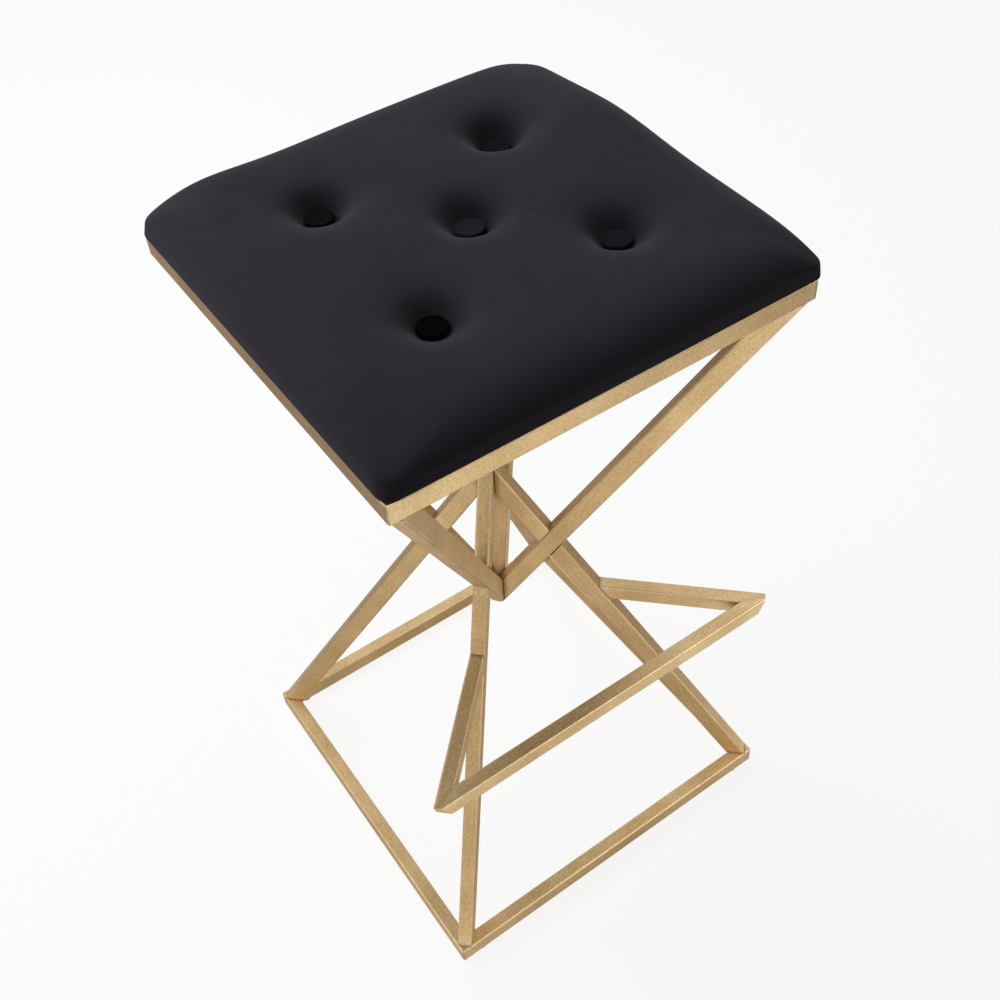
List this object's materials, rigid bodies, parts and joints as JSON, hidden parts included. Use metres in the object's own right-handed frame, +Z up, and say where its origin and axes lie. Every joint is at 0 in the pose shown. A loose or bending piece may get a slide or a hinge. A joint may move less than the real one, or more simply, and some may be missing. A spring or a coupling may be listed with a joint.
{
  "type": "bar stool",
  "caption": "Square bar stool: crossed struts of brushed brass-coloured tube between a floor frame and a seat rail, a front footrest and a buttoned velvet seat",
  "frame": {"origin": "on the floor, at the centre of the floor frame and on the stool's upright axis", "axes": "+Z up, the footrest's side faces -Y, +X to the right of someone who looks at it from the front"},
  "size_m": [0.414, 0.414, 0.7628],
  "materials": {
    "brass_frame": "satin, brass-coloured plating on brushed steel tube",
    "velvet": "matte, short-pile velvet",
    "foam": "matte, polyurethane foam",
    "plywood": "matte, bare plywood",
    "zinc_steel": "satin, zinc plated",
    "twine": "matte, waxed twine",
    "dust_cloth": "matte, non-woven dust cloth",
    "glide_plastic": "matte"
  },
  "bodies": {
    "root": {"base_rail_front": "brass_frame", "base_rail_right": "brass_frame", "base_rail_back": "brass_frame", "base_rail_left": "brass_frame", "lower_strut_front_left": "brass_frame", "lower_strut_front_right": "brass_frame", "lower_strut_back_right": "brass_frame", "lower_strut_back_left": "brass_frame", "apex_stub_front_left": "brass_frame", "apex_stub_front_right": "brass_frame", "apex_stub_back_right": "brass_frame", "apex_stub_back_left": "brass_frame", "upper_strut_front_left": "brass_frame", "upper_strut_front_right": "brass_frame", "upper_strut_back_right": "brass_frame", "upper_strut_back_left": "brass_frame", "seat_rail_front": "brass_frame", "seat_rail_right": "brass_frame", "seat_rail_back": "brass_frame", "seat_rail_left": "brass_frame", "footrest_bar": "brass_frame", "footrest_arm_left": "brass_frame", "footrest_arm_right": "brass_frame", "corner_plate_front_left": "brass_frame", "corner_plate_front_right": "brass_frame", "corner_plate_back_right": "brass_frame", "corner_plate_back_left": "brass_frame", "seat_screws": "zinc_steel", "seat_washers": "zinc_steel", "tee_nuts": "zinc_steel", "seat_board": "plywood", "foam_pad": "foam", "velvet_cover": "velvet", "button_centre": "velvet", "button_front_left": "velvet", "button_front_right": "velvet", "button_back_right": "velvet", "button_back_left": "velvet", "tufting_twine": "twine", "twine_anchors": "zinc_steel", "dust_cover": "dust_cloth", "dust_cover_staples": "zinc_steel", "floor_glides": "glide_plastic"}
  },
  "joints": []
}
